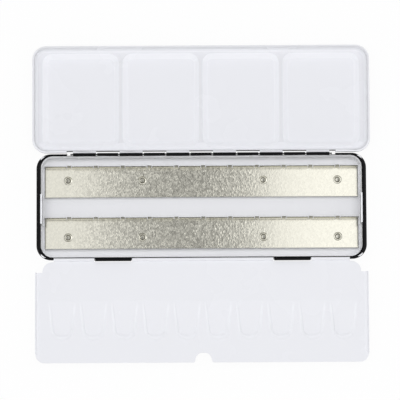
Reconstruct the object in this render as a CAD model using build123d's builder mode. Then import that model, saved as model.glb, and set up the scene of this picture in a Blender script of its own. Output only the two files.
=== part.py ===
from build123d import *
import os

os.makedirs("parts", exist_ok=True)

# Empty enamelled tin for twelve half pans a row, open flat: lid behind, mixing flap in front.
# Millimetres, +Z up, front towards -Y. Origin: middle of the underside of the body tray.

# Sheet and clearances
sheet = 0.4                 # enamelled tinplate of tray, lid, flap and insert plate
rail_sheet = 0.3            # bare tinplate of the pan rails
close_gap = 0.2             # closed flap to the rim and beads of the tray
lid_gap = 0.2               # closed lid to the closed flap and its knuckles
swing_gap = 0.3             # knuckle to the notch or wall that it turns beside
lift_gap = 0.3              # insert to the walls that it lifts past
seat_gap = 0.15             # hooked lip to the seat under it
floor_gap = 0.05            # insert to the floor that it stands on
pin_gap = 0.05              # hinge pin in its knuckles, all round
shank_gap = 0.05            # eyelet shank in its holes, all round

# Body tray
tray_width = 211.0          # over the end beads
tray_depth = 68.4           # over the front and back beads
tray_height = 13.0
tray_corner = 9.3           # plan radius of the bead
end_bead = 2.9              # outer edge of the bead to the inner face of an end wall
long_bead = 1.6             # the same at the front and back walls
bead_height = 2.9
bead_top_round = 1.4
bead_under_round = 1.1
tray_floor_round = 1.6      # inner radius between floor and walls
inner_corner = 7.6          # plan radius of the inner wall

# Lid
lid_overhang = 2.7          # lid past the tray at each end
lid_over_front = 1.2        # lid deeper than the tray by this much
lid_corner = 9.0
lid_bead = 1.6
lid_bead_height = 1.8
lid_bead_round = 0.7
lid_wall = 6.1              # rim to the raised ribs between the wells
lid_floor_round = 2.4
lid_offset = 1.2            # hinge axis to the nearest edge of the lid

# Four mixing wells of the lid
lid_wells = 4
lid_rib = 2.6               # flat top of the rib between two wells
lid_well_end_gap = 2.5      # round of an end wall to the nearest well
lid_well_side_gap = 0.5     # round of the long walls to the wells
lid_well_slope = 3.1        # width of the sloping side of a well
lid_well_deep = 2.6
lid_well_floor_corner = 3.0
lid_well_top_round = 1.0
lid_well_floor_round = 2.0
lid_well_shift = 0.3        # wells sit a little off the middle, away from the hinge

# Hinges
knuckle = 2.0               # outer diameter of every knuckle
lid_hinge_inset = 23.4      # end of the tray to the first knuckle behind
tray_lobe = 13.4            # length of a tray knuckle in the lid hinge
lobe_gap = 0.9              # between two knuckles of the lid hinge
lid_lobes = 6
rim_cut_play = 4.2          # end of the knuckles to the end of the cut in the back rim
rim_cut_slant = 1.1
lid_pin_over = 1.6          # pin past the last knuckle
front_lobe = 23.0           # length of a tray knuckle in the flap hinge
front_lobe_pitch = 115.3    # between the middles of the two tray knuckles
front_lobe_shift = 1.2
front_lobe_gap = 0.6
front_hinge_inset = 11.1    # end of the tray to the first knuckle in front
front_cut_play = 0.3
flap_pin_short = 0.5        # pin ends this far inside the outer knuckles
pin_chamfer = 0.15

# Mixing flap
flap_free_gap = 0.6         # free edge of the closed flap to the back wall
flap_neck_inset = 3.8       # end of the tray to the flap's edge beside the hinge
flap_neck_length = 8.2      # hinge axis to the start of the side lips
flap_neck_corner = 6.4
flap_setback = 1.5          # hinge axis to the hinge-side edge of the plate
flap_corner = 5.8
flap_lip_drop = 0.2         # straight end of a side lip past its bend
thumb_bore = 11.2
thumb_deep = 6.0
thumb_round = 1.6
thumb_shift = 2.1

# Ten thumb-shaped wells of the flap
flap_wells = 10
flap_well_margin = 4.6      # bend of the side lip to the row of wells
flap_well_rib = 1.1         # between two wells at their shallow ends
flap_well_free = 11.9       # rounded deep end to the free edge
flap_well_length = 27.6     # shallow end to rounded deep end
flap_well_narrow = 11.6     # at the deep end
flap_well_deep = 2.0
flap_well_steep = 3.6       # length of the steep slope at the deep end
flap_well_draft = 38.0      # slope of the sides, degrees from upright
flap_well_shift = 0.6

# Lift-out insert
plate_end_gap = 2.1         # end wall to the plate and the rails on it
plate_edge = 4.6            # row of eyelets to the edge of the plate
foot_height = 0.5           # tails of the eyelets, on which the insert stands
tab_width = 19.2
tab_shift = -1.2
tab_lip = 1.1               # lip turned outward over the end wall
lip_below_rim = 0.3
tab_bend = 0.4
lip_bend_round = 0.3
plate_corner = 2.0

# Two pan rails
rail_width = 19.2           # takes half pans, 19 mm across the rail
rail_side_gap = 6.4         # long wall to the nearest rail
rail_front_height = 4.6
rail_hem = 0.9
rail_back_height = 5.6
tongue_flare = 0.5
tongue_flare_height = 1.4
tongue_pitch = 17.2         # one half pan, 16 mm, and its play
tongue_end = 10.0           # shortest tongue at an end of the rail
tongue_shift = 1.2
slot_width = 3.4
slot_root = 0.8
post_gap = 0.4              # between a tongue and the narrow post in a slot
post_lean = 0.9             # top of a post outward of the wall
post_over = 0.2             # top of a post above the tongues
rail_bend = 0.3

# Eyelets that hold the rails down
eyelet_flange = 4.6
eyelet_tail = 4.2
eyelet_shank = 3.4
eyelet_bore = 2.8
eyelet_floor = 0.5
eyelet_rise = 0.45
eyelet_round = 0.25
eyelet_off = 1.8            # row of eyelets outward of the middle of its rail
eyelet_inner_pitch = 77.6
eyelet_end = 14.0           # end of the rail to the outer eyelets
eyelet_shift = 0.9

# Levels and lines that follow from the sizes above
knuckle_r = knuckle / 2
bore_r = knuckle_r - sheet
pin_r = bore_r - pin_gap
inner_width = tray_width - 2 * end_bead
inner_depth = tray_depth - 2 * long_bead
wall_width = inner_width + 2 * sheet
wall_depth = inner_depth + 2 * sheet
wall_y = wall_depth / 2
flap_axis_z = tray_height + close_gap + sheet - knuckle_r
flap_axis_y = -(wall_y + swing_gap / 3 + knuckle_r)
closed_lid_rim = flap_axis_z + knuckle_r + lid_gap
lid_axis_z = (tray_height + closed_lid_rim) / 2
lid_axis_y = inner_depth / 2 + knuckle_r
lid_width = tray_width + 2 * lid_overhang
lid_depth = tray_depth + lid_over_front
lid_near = lid_axis_y + lid_offset
lid_mid_y = lid_near + lid_depth / 2
lid_inner_width = lid_width - 2 * lid_bead
lid_inner_depth = lid_depth - 2 * lid_bead
rib_z = tray_height - lid_wall
lid_well_room = lid_inner_width - 2 * (lid_floor_round + lid_well_end_gap)
lid_well_pitch = (lid_well_room + lid_rib) / lid_wells
lid_well_length = lid_inner_depth - 2 * (lid_floor_round + lid_well_side_gap)
hinge_length = tray_width - 2 * lid_hinge_inset
lid_lobe = (hinge_length - (lid_lobes - 1) * (tray_lobe + 2 * lobe_gap)) / lid_lobes
lobe_step = (lid_lobe + tray_lobe) / 2 + lobe_gap
front_hinge_length = tray_width - 2 * front_hinge_inset
back_cut = hinge_length + 2 * rim_cut_play
front_cut = front_hinge_length + 2 * front_cut_play
leaf_z = lid_axis_z - knuckle_r
flap_length = inner_depth / 2 - flap_free_gap - flap_axis_y
flap_neck = tray_width - 2 * flap_neck_inset
plate_length = inner_width - 2 * plate_end_gap
rail_length = plate_length
rail_pitch = inner_depth - rail_width - 2 * rail_side_gap
tongue_slots = int((rail_length - 2 * tongue_end) / tongue_pitch) + 1
eyelet_row_pitch = rail_pitch + 2 * eyelet_off
eyelet_outer_pitch = rail_length - 2 * eyelet_end
plate_depth = eyelet_row_pitch + 2 * plate_edge
plate_z = sheet + floor_gap + foot_height
rail_z = plate_z + sheet
rail_top = rail_z + rail_sheet
post_foot = rail_top + slot_root / 2
post_top = rail_z + rail_back_height + tongue_flare_height + post_over
lid_lobe_x = [2 * lobe_step * (i - (lid_lobes - 1) / 2) for i in range(lid_lobes)]
tray_lobe_x = [2 * lobe_step * (i - (lid_lobes - 2) / 2) for i in range(lid_lobes - 1)]
front_lobe_x = [front_lobe_shift - front_lobe_pitch / 2, front_lobe_shift + front_lobe_pitch / 2]

# The flap knuckles fill what the two tray knuckles leave of the hinge
flap_left = -front_hinge_length / 2
flap_right = front_hinge_length / 2
lobe_a_left = front_lobe_x[0] - front_lobe / 2 - front_lobe_gap
lobe_a_right = front_lobe_x[0] + front_lobe / 2 + front_lobe_gap
lobe_b_left = front_lobe_x[1] - front_lobe / 2 - front_lobe_gap
lobe_b_right = front_lobe_x[1] + front_lobe / 2 + front_lobe_gap
flap_spans = [(flap_left, lobe_a_left), (lobe_a_right, lobe_b_left), (lobe_b_right, flap_right)]

along_x = Plane.YZ

# Hollow of the tray, rounded where its walls meet the floor
with BuildPart() as tray_hollow:
    with BuildSketch(Plane.XY.offset(sheet)):
        RectangleRounded(inner_width, inner_depth, inner_corner)
    extrude(amount=tray_height)
    fillet(tray_hollow.edges().group_by(Axis.Z)[0], tray_floor_round)

# Body tray: one pressed sheet with a rolled rim, open above
with BuildPart() as body_tray:
    with BuildSketch(Plane.XY.offset(tray_height - bead_height)):
        RectangleRounded(tray_width, tray_depth, tray_corner)
    extrude(amount=bead_height)
    fillet(body_tray.edges().group_by(Axis.Z)[-1], bead_top_round)
    fillet(body_tray.edges().group_by(Axis.Z)[0], bead_under_round)
    with BuildSketch():
        RectangleRounded(wall_width, wall_depth, inner_corner + sheet)
    extrude(amount=tray_height - bead_height / 2)
    fillet(body_tray.edges().group_by(Axis.Z)[0], tray_floor_round + sheet)
    # the bead is cut away where the hinges sit, which leaves the bare wall
    with BuildSketch(Plane.XY.offset(tray_height - bead_height)):
        with BuildLine():
            Polyline(
                (-back_cut / 2, wall_y),
                (-back_cut / 2 + rim_cut_slant, tray_depth / 2 + 1),
                (back_cut / 2 - rim_cut_slant, tray_depth / 2 + 1),
                (back_cut / 2, wall_y),
                close=True,
            )
        make_face()
    extrude(amount=bead_height, mode=Mode.SUBTRACT)
    with BuildSketch(Plane.XY.offset(tray_height - bead_height)):
        with Locations((0, -wall_y - 1)):
            Rectangle(front_cut, 2)
    extrude(amount=bead_height, mode=Mode.SUBTRACT)
    add(tray_hollow.part, mode=Mode.SUBTRACT)
    # the back wall is notched for the lid knuckles
    for x in lid_lobe_x:
        with BuildSketch(Plane.XY.offset(leaf_z - swing_gap)):
            with Locations((x, lid_axis_y)):
                Rectangle(lid_lobe + 2 * lobe_gap, knuckle + 2 * swing_gap)
        extrude(amount=tray_height, mode=Mode.SUBTRACT)
    # rolled knuckles at the back, each on a leaf of the wall
    for x in tray_lobe_x:
        with BuildSketch(along_x.offset(x - tray_lobe / 2)):
            with Locations((lid_axis_y, lid_axis_z)):
                Circle(knuckle_r)
            with Locations((wall_y - sheet / 2, (tray_height - bead_height + lid_axis_z) / 2)):
                Rectangle(sheet, lid_axis_z - tray_height + bead_height)
            with Locations((lid_axis_y, lid_axis_z)):
                Circle(bore_r, mode=Mode.SUBTRACT)
        extrude(amount=tray_lobe)
    # rolled knuckles at the front, each on a leaf turned out from the wall
    for x in front_lobe_x:
        with BuildSketch(along_x.offset(x - front_lobe / 2)):
            with Locations((flap_axis_y, flap_axis_z)):
                Circle(knuckle_r)
            with Locations(((flap_axis_y - inner_depth / 2) / 2, flap_axis_z - knuckle_r + sheet / 2)):
                Rectangle(-flap_axis_y - inner_depth / 2, sheet)
            with Locations((flap_axis_y, flap_axis_z)):
                Circle(bore_r, mode=Mode.SUBTRACT)
        extrude(amount=front_lobe)
    # seats pressed into the end beads for the lips of the insert
    for side in (-1, 1):
        with BuildSketch(Plane.XY.offset(tray_height - lip_below_rim - sheet - seat_gap)):
            with Locations((side * inner_width / 2, tab_shift)):
                Rectangle(2 * (tab_lip - lift_gap + seat_gap - sheet), tab_width + 2 * lift_gap)
        extrude(amount=tray_height, mode=Mode.SUBTRACT)

body_tray.part.label = "body_tray"
export_step(body_tray.part, "parts/body_tray.step")

# Hollow of the lid above its ribs, and one well of it inside and outside
with BuildPart() as lid_hollow:
    with BuildSketch(Plane.XY.offset(rib_z)):
        with Locations((0, lid_mid_y)):
            RectangleRounded(lid_inner_width, lid_inner_depth, lid_corner - lid_bead)
    extrude(amount=tray_height)
    fillet(lid_hollow.edges().group_by(Axis.Z)[0], lid_floor_round)

well_wide = lid_well_pitch - lid_rib
with BuildPart() as lid_well_inside:
    with BuildSketch(Plane.XY.offset(rib_z)):
        RectangleRounded(well_wide, lid_well_length, lid_well_floor_corner + lid_well_slope)
    with BuildSketch(Plane.XY.offset(rib_z - lid_well_deep)):
        RectangleRounded(
            well_wide - 2 * lid_well_slope,
            lid_well_length - 2 * lid_well_slope,
            lid_well_floor_corner,
        )
    loft()
    fillet(lid_well_inside.edges().group_by(Axis.Z)[0], lid_well_floor_round)

with BuildPart() as lid_well_outside:
    with BuildSketch(Plane.XY.offset(rib_z - sheet)):
        RectangleRounded(well_wide, lid_well_length, lid_well_floor_corner + lid_well_slope)
    with BuildSketch(Plane.XY.offset(rib_z - sheet - lid_well_deep)):
        RectangleRounded(
            well_wide - 2 * lid_well_slope,
            lid_well_length - 2 * lid_well_slope,
            lid_well_floor_corner,
        )
    loft()
    fillet(lid_well_outside.edges().group_by(Axis.Z)[0], lid_well_floor_round)

lid_well_places = [
    ((i - (lid_wells - 1) / 2) * lid_well_pitch, lid_mid_y + lid_well_shift)
    for i in range(lid_wells)
]

# Lid: inside up, four mixing wells pressed into its panel
with BuildPart() as lid:
    with BuildSketch(Plane.XY.offset(tray_height - lid_bead_height)):
        with Locations((0, lid_mid_y)):
            RectangleRounded(lid_width, lid_depth, lid_corner)
    extrude(amount=lid_bead_height)
    fillet(lid.edges().group_by(Axis.Z)[-1], lid_bead_round)
    fillet(lid.edges().group_by(Axis.Z)[0], lid_bead_round)
    with BuildSketch(Plane.XY.offset(rib_z - sheet)):
        with Locations((0, lid_mid_y)):
            RectangleRounded(
                lid_inner_width + 2 * sheet,
                lid_inner_depth + 2 * sheet,
                lid_corner - lid_bead + sheet,
            )
    extrude(amount=lid_wall + sheet)
    fillet(lid.edges().group_by(Axis.Z)[0], lid_floor_round + sheet)
    # the bead stops where the hinge sits
    with BuildSketch(Plane.XY.offset(tray_height - lid_bead_height)):
        with BuildLine():
            Polyline(
                (-back_cut / 2, lid_near + lid_bead - sheet),
                (-back_cut / 2 + rim_cut_slant, lid_near - 1),
                (back_cut / 2 - rim_cut_slant, lid_near - 1),
                (back_cut / 2, lid_near + lid_bead - sheet),
                close=True,
            )
        make_face()
    extrude(amount=lid_bead_height, mode=Mode.SUBTRACT)
    add(lid_hollow.part, mode=Mode.SUBTRACT)
    with Locations(*lid_well_places):
        add(lid_well_outside.part)
    with Locations(*lid_well_places):
        add(lid_well_inside.part, mode=Mode.SUBTRACT)
    fillet(
        lid.edges().filter_by(
            lambda e: abs(e.center().Z - rib_z) < 0.01
            and abs(e.center().X) < lid_inner_width / 2 - lid_floor_round - 0.3
            and abs(e.center().Y - lid_mid_y) < lid_inner_depth / 2 - lid_floor_round - 0.01
        ),
        lid_well_top_round,
    )
    # rolled knuckles, each on a leaf turned out from the wall
    for x in lid_lobe_x:
        with BuildSketch(along_x.offset(x - lid_lobe / 2)):
            with Locations((lid_axis_y, lid_axis_z)):
                Circle(knuckle_r)
            with Locations(((lid_axis_y + lid_near + lid_bead) / 2, leaf_z + sheet / 2)):
                Rectangle(lid_near + lid_bead - lid_axis_y, sheet)
            with Locations((lid_axis_y, lid_axis_z)):
                Circle(bore_r, mode=Mode.SUBTRACT)
        extrude(amount=lid_lobe)

lid.part.label = "lid"
export_step(lid.part, "parts/lid.step")

# Mixing flap: inside up, hung at the front
flap_z = flap_axis_z - knuckle_r
flap_top = flap_z + sheet
lip_bend = bead_top_round + close_gap
lip_mid_x = tray_width / 2 - bead_top_round
lip_mid_z = flap_top + lip_bend
lip_out = lip_mid_x + lip_bend + sheet
free_y = flap_axis_y - flap_length
lip_start = flap_axis_y - flap_neck_length
lip_length = flap_length - flap_corner - flap_neck_length

# One well of the flap, inside and outside: a ramp that deepens to a rounded end
flap_well_pitch = 2 * (lip_mid_x - flap_well_margin) / flap_wells
flap_well_wide = flap_well_pitch - flap_well_rib
well_to = free_y + flap_well_free
well_from = well_to + flap_well_length
well_r = flap_well_narrow / 2
with BuildPart() as flap_well_inside:
    with BuildSketch(Plane.XY.offset(flap_top)):
        with BuildLine():
            Line((-flap_well_wide / 2, well_from), (-well_r, well_to + well_r))
            ThreePointArc((-well_r, well_to + well_r), (0, well_to), (well_r, well_to + well_r))
            Polyline(
                (well_r, well_to + well_r),
                (flap_well_wide / 2, well_from),
                (-flap_well_wide / 2, well_from),
            )
        make_face()
    extrude(amount=-flap_well_deep, taper=flap_well_draft)
    with BuildSketch(along_x):
        with BuildLine():
            Polyline(
                (well_from, flap_top),
                (well_to + flap_well_steep, flap_top - flap_well_deep),
                (well_to, flap_top),
                close=True,
            )
        make_face()
    extrude(amount=flap_well_pitch, both=True, mode=Mode.INTERSECT)

with BuildPart() as flap_well_outside:
    with BuildSketch(Plane.XY.offset(flap_top)):
        with BuildLine():
            Line((-flap_well_wide / 2, well_from), (-well_r, well_to + well_r))
            ThreePointArc((-well_r, well_to + well_r), (0, well_to), (well_r, well_to + well_r))
            Polyline(
                (well_r, well_to + well_r),
                (flap_well_wide / 2, well_from),
                (-flap_well_wide / 2, well_from),
            )
        make_face()
        offset(amount=sheet)
    extrude(amount=-flap_well_deep - sheet, taper=flap_well_draft)
    with BuildSketch(along_x):
        with BuildLine():
            Polyline(
                (well_from, flap_top - sheet),
                (well_to + flap_well_steep, flap_top - flap_well_deep - sheet),
                (well_to - sheet, flap_top - sheet),
                (well_to - sheet, flap_top),
                (well_from, flap_top),
                close=True,
            )
        make_face()
    extrude(amount=flap_well_pitch, both=True, mode=Mode.INTERSECT)

flap_well_places = [
    (flap_well_shift + (i - (flap_wells - 1) / 2) * flap_well_pitch, 0)
    for i in range(flap_wells)
]

with BuildPart() as palette_flap:
    with BuildSketch(Plane.XY.offset(flap_z)):
        with Locations((0, flap_axis_y - flap_setback - flap_neck_length)):
            RectangleRounded(flap_neck, 2 * flap_neck_length, flap_neck_corner)
        with Locations((0, (lip_start + free_y) / 2)):
            Rectangle(2 * lip_mid_x, lip_start - free_y)
        with Locations((0, free_y + flap_corner)):
            RectangleRounded(2 * lip_out, 2 * flap_corner, flap_corner - 0.01)
        with Locations((0, free_y + flap_corner * 1.5)):
            Rectangle(2 * lip_out, flap_corner, mode=Mode.SUBTRACT)
        with Locations((0, free_y + flap_corner * 1.5)):
            Rectangle(2 * lip_mid_x, flap_corner)
    extrude(amount=sheet)
    # side lips that close round the end beads of the tray
    for side in (-1, 1):
        with BuildSketch(Plane.XZ.offset(-lip_start)):
            with Locations((side * lip_mid_x, lip_mid_z)):
                Circle(lip_bend + sheet)
                Circle(lip_bend, mode=Mode.SUBTRACT)
            with Locations((side * (lip_mid_x + lip_bend), lip_mid_z - lip_bend)):
                Rectangle(2 * lip_bend, 2 * lip_bend, mode=Mode.INTERSECT)
            with Locations((side * (lip_out - sheet / 2), lip_mid_z + flap_lip_drop / 2)):
                Rectangle(sheet, flap_lip_drop)
        extrude(amount=lip_length)
    with Locations(*flap_well_places):
        add(flap_well_outside.part)
    with Locations(*flap_well_places):
        add(flap_well_inside.part, mode=Mode.SUBTRACT)
    # notch for the thumb in the free edge
    with BuildSketch(Plane.XY.offset(flap_z)):
        with Locations((thumb_shift, free_y + thumb_deep - thumb_bore / 2)):
            Circle(thumb_bore / 2)
    extrude(amount=sheet, mode=Mode.SUBTRACT)
    fillet(
        palette_flap.edges().filter_by(Axis.Z).filter_by(
            lambda e: abs(e.center().X - thumb_shift) < thumb_bore / 2 + 0.1
            and abs(e.center().Y - free_y) < 0.1
        ),
        thumb_round,
    )
    # rolled knuckles, each on a leaf of the plate
    for left, right in flap_spans:
        with BuildSketch(along_x.offset(left)):
            with Locations((flap_axis_y, flap_axis_z)):
                Circle(knuckle_r)
            with Locations((flap_axis_y - flap_setback / 2 - 0.5, flap_z + sheet / 2)):
                Rectangle(flap_setback + 1, sheet)
            with Locations((flap_axis_y, flap_axis_z)):
                Circle(bore_r, mode=Mode.SUBTRACT)
        extrude(amount=right - left)

palette_flap.part.label = "palette_flap"
export_step(palette_flap.part, "parts/palette_flap.step")

# Hinge pins: plain wire
with BuildPart() as lid_hinge_pin:
    with BuildSketch(along_x.offset(-hinge_length / 2 - lid_pin_over)):
        with Locations((lid_axis_y, lid_axis_z)):
            Circle(pin_r)
    extrude(amount=hinge_length + 2 * lid_pin_over)
    chamfer(lid_hinge_pin.edges().filter_by(GeomType.CIRCLE), pin_chamfer)

lid_hinge_pin.part.label = "lid_hinge_pin"
export_step(lid_hinge_pin.part, "parts/lid_hinge_pin.step")

with BuildPart() as flap_hinge_pin:
    with BuildSketch(along_x.offset(flap_left + flap_pin_short)):
        with Locations((flap_axis_y, flap_axis_z)):
            Circle(pin_r)
    extrude(amount=front_hinge_length - 2 * flap_pin_short)
    chamfer(flap_hinge_pin.edges().filter_by(GeomType.CIRCLE), pin_chamfer)

flap_hinge_pin.part.label = "flap_hinge_pin"
export_step(flap_hinge_pin.part, "parts/flap_hinge_pin.step")

# Places of the eyelets, four to a rail
eyelet_places = [
    (eyelet_shift + x, y)
    for y in (-eyelet_row_pitch / 2, eyelet_row_pitch / 2)
    for x in (
        -eyelet_outer_pitch / 2,
        -eyelet_inner_pitch / 2,
        eyelet_inner_pitch / 2,
        eyelet_outer_pitch / 2,
    )
]
shank_hole_r = eyelet_shank / 2 + shank_gap

# Insert plate: lies under both rails, its two tabs hook over the end walls
tab_face = inner_width / 2 - lift_gap
lip_top = tray_height - lip_below_rim
with BuildPart() as insert_plate:
    with BuildSketch(Plane.XY.offset(plate_z)):
        Rectangle(plate_length, plate_depth)
    extrude(amount=sheet)
    fillet(insert_plate.edges().filter_by(Axis.Z), plate_corner)
    for side in (-1, 1):
        with BuildSketch(Plane.XZ.offset(-tab_shift - tab_width / 2)):
            with BuildLine():
                Polyline(
                    (side * (plate_length / 2 - 4), plate_z),
                    (side * tab_face, plate_z),
                    (side * tab_face, lip_top - sheet),
                    (side * (tab_face - sheet + tab_lip), lip_top - sheet),
                    (side * (tab_face - sheet + tab_lip), lip_top),
                    (side * (tab_face - sheet), lip_top),
                    (side * (tab_face - sheet), plate_z + sheet),
                    (side * (plate_length / 2 - 4), plate_z + sheet),
                    close=True,
                )
            make_face()
        extrude(amount=tab_width)
    fillet(
        insert_plate.edges().filter_by(Axis.Y).filter_by(
            lambda e: abs(abs(e.center().X) - tab_face) < 0.01 and e.center().Z < lip_top - 2
        ),
        tab_bend + sheet,
    )
    fillet(
        insert_plate.edges().filter_by(Axis.Y).filter_by(
            lambda e: abs(abs(e.center().X) - tab_face + sheet) < 0.01
            and plate_z + sheet / 2 < e.center().Z < lip_top - 2
        ),
        tab_bend,
    )
    fillet(
        insert_plate.edges().filter_by(Axis.Y).filter_by(
            lambda e: abs(abs(e.center().X) - tab_face + sheet) < 0.01 and e.center().Z > lip_top - 0.01
        ),
        lip_bend_round,
    )
    with BuildSketch(Plane.XY.offset(plate_z)):
        with Locations(*eyelet_places):
            Circle(shank_hole_r)
    extrude(amount=sheet, mode=Mode.SUBTRACT)

insert_plate.part.label = "insert_plate"
export_step(insert_plate.part, "parts/insert_plate.step")

# Pan rail: channel with a hemmed front edge, twelve sprung tongues behind and posts between them
with BuildPart() as rail:
    with BuildSketch(along_x.offset(-rail_length / 2)):
        with Locations((0, rail_z + rail_sheet / 2)):
            Rectangle(rail_width, rail_sheet)
        with Locations((-rail_width / 2 + rail_sheet / 2, rail_z + rail_front_height / 2)):
            Rectangle(rail_sheet, rail_front_height)
        with Locations((-rail_width / 2 + rail_sheet, rail_z + rail_front_height - rail_hem / 2)):
            Rectangle(2 * rail_sheet, rail_hem)
        with Locations((rail_width / 2 - rail_sheet / 2, rail_z + rail_back_height / 2)):
            Rectangle(rail_sheet, rail_back_height)
        with BuildLine():
            flare_low = rail_z + rail_back_height - 0.01
            Polyline(
                (rail_width / 2 - rail_sheet, flare_low),
                (rail_width / 2, flare_low),
                (rail_width / 2 + tongue_flare, flare_low + tongue_flare_height),
                (rail_width / 2 + tongue_flare - rail_sheet, flare_low + tongue_flare_height),
                close=True,
            )
        make_face()
    extrude(amount=rail_length)
    for corner_y in (-rail_width / 2, rail_width / 2):
        fillet(
            rail.edges().filter_by(Axis.X).filter_by(
                lambda e: abs(e.center().Y - corner_y) < 0.01 and abs(e.center().Z - rail_z) < 0.01
            ),
            rail_bend + rail_sheet,
        )
    for corner_y in (-rail_width / 2 + rail_sheet, rail_width / 2 - rail_sheet):
        fillet(
            rail.edges().filter_by(Axis.X).filter_by(
                lambda e: abs(e.center().Y - corner_y) < 0.01 and abs(e.center().Z - rail_top) < 0.01
            ),
            rail_bend,
        )
    # slots between the tongues
    with BuildSketch(Plane.XY.offset(rail_top + slot_root)):
        with Locations((tongue_shift, rail_width / 2)):
            with GridLocations(tongue_pitch, 0, tongue_slots, 1):
                Rectangle(slot_width, 4 * tongue_flare)
    extrude(amount=rail_back_height + tongue_flare_height, mode=Mode.SUBTRACT)
    # a narrow post leans outward in each slot
    for i in range(tongue_slots):
        slot_x = tongue_shift + (i - (tongue_slots - 1) / 2) * tongue_pitch
        with BuildSketch(along_x.offset(slot_x - slot_width / 2 + post_gap)):
            with BuildLine():
                Polyline(
                    (rail_width / 2 - rail_sheet, post_foot),
                    (rail_width / 2, post_foot),
                    (rail_width / 2 + post_lean, post_top),
                    (rail_width / 2 + post_lean - rail_sheet, post_top),
                    close=True,
                )
            make_face()
        extrude(amount=slot_width - 2 * post_gap)

# Both rails are the same pressing; the eyelet holes differ in their row
with BuildPart() as back_rail:
    with Locations((0, rail_pitch / 2)):
        add(rail.part)
    with BuildSketch(Plane.XY.offset(rail_z)):
        with Locations(*[p for p in eyelet_places if p[1] > 0]):
            Circle(shank_hole_r)
    extrude(amount=rail_sheet, mode=Mode.SUBTRACT)

back_rail.part.label = "back_rail"
export_step(back_rail.part, "parts/back_rail.step")

with BuildPart() as front_rail:
    with Locations((0, -rail_pitch / 2)):
        add(rail.part)
    with BuildSketch(Plane.XY.offset(rail_z)):
        with Locations(*[p for p in eyelet_places if p[1] < 0]):
            Circle(shank_hole_r)
    extrude(amount=rail_sheet, mode=Mode.SUBTRACT)

front_rail.part.label = "front_rail"
export_step(front_rail.part, "parts/front_rail.step")

# One eyelet: cup open above with a rolled flange, spread below under the plate
with BuildPart() as eyelet:
    with BuildSketch(Plane.XZ):
        with BuildLine():
            Polyline(
                (0, plate_z - foot_height),
                (eyelet_tail / 2, plate_z - foot_height),
                (eyelet_tail / 2, plate_z),
                (eyelet_shank / 2, plate_z),
                (eyelet_shank / 2, rail_top),
                (eyelet_flange / 2, rail_top),
                (eyelet_flange / 2, rail_top + eyelet_rise),
                (eyelet_bore / 2, rail_top + eyelet_rise),
                (eyelet_bore / 2, plate_z - foot_height + eyelet_floor),
                (0, plate_z - foot_height + eyelet_floor),
                close=True,
            )
        make_face()
    revolve(axis=Axis.Z)
    fillet(eyelet.edges().group_by(Axis.Z)[-1].sort_by(SortBy.RADIUS)[-1], eyelet_round)
    fillet(eyelet.edges().group_by(Axis.Z)[-1].sort_by(SortBy.RADIUS)[0], eyelet_round)

with BuildPart() as rail_eyelets:
    with Locations(*eyelet_places):
        add(eyelet.part)

rail_eyelets.part.label = "rail_eyelets"
export_step(rail_eyelets.part, "parts/rail_eyelets.step")
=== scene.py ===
"""Empty enamelled watercolour tin, lying open: looks, stage and camera."""

import math
from itertools import product

import bmesh
import bpy
from bpy.props import FloatProperty, FloatVectorProperty, IntProperty, PointerProperty
from mathutils import Euler, Matrix, Vector


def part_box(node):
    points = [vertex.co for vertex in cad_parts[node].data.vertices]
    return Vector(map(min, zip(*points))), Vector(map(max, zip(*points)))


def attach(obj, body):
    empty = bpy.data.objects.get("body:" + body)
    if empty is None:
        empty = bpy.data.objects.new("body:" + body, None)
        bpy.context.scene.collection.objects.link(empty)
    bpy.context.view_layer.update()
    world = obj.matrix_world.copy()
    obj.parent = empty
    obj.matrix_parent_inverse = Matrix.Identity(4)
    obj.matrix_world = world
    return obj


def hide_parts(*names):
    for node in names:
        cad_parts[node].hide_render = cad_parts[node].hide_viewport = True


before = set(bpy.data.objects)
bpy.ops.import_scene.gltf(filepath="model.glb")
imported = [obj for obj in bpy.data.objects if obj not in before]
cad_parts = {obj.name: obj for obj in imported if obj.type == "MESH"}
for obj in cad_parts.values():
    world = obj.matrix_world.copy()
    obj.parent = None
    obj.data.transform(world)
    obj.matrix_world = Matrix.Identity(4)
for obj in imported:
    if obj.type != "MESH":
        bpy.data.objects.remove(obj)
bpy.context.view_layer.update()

bl_info = {
    "name": "Watercolour tin",
    "version": (1, 0, 0),
    "blender": (4, 5, 0),
    "location": "View3D > Sidebar > Tin",
    "description": "Builds an open enamelled watercolour tin and its studio stage",
    "category": "Add Mesh",
}

MM = 0.001
# SLACK moves a limit clear of the faces that lie on it, and TOUCH is how near counts as there
SLACK = 0.02 * MM
TOUCH = 0.01 * MM

# Tray and lid: inner faces, rims and the right front knuckle
CORNER = 8.0 * MM
TRAY_INNER = (102.6 * MM + SLACK, 32.6 * MM + SLACK)
TRAY_RIM_Z = 12.9 * MM
TRAY_FLOOR_Z = 0.39 * MM
KNUCKLE_SHIFT = 1.0 * MM
KNUCKLE_X = (47.0 * MM, 71.0 * MM)
KNUCKLE_Y = -32.0 * MM
KNUCKLE_Z = 11.0 * MM
LID_BEAD = 1.6 * MM
LID_EDGE_Y = 34.8 * MM
LID_HINGE_Y = 34.9 * MM

# Rails: the places where the tinplate's painted shade and its grain change, across from the middle of a
# rail
RAIL_LOW, RAIL_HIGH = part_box("back_rail")
RAIL_HALF = 9.6 * MM
RAIL_Y = RAIL_LOW.y + RAIL_HALF
RAIL_END = RAIL_HIGH.x
RAIL_EDGE_Z = RAIL_HIGH.z - 0.35 * MM
POST_OFFSET = RAIL_HALF + SLACK
FRONT_OFFSET = -RAIL_HALF + 0.12 * MM
GRAIN_SHIFT = 18.0 * MM

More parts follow.
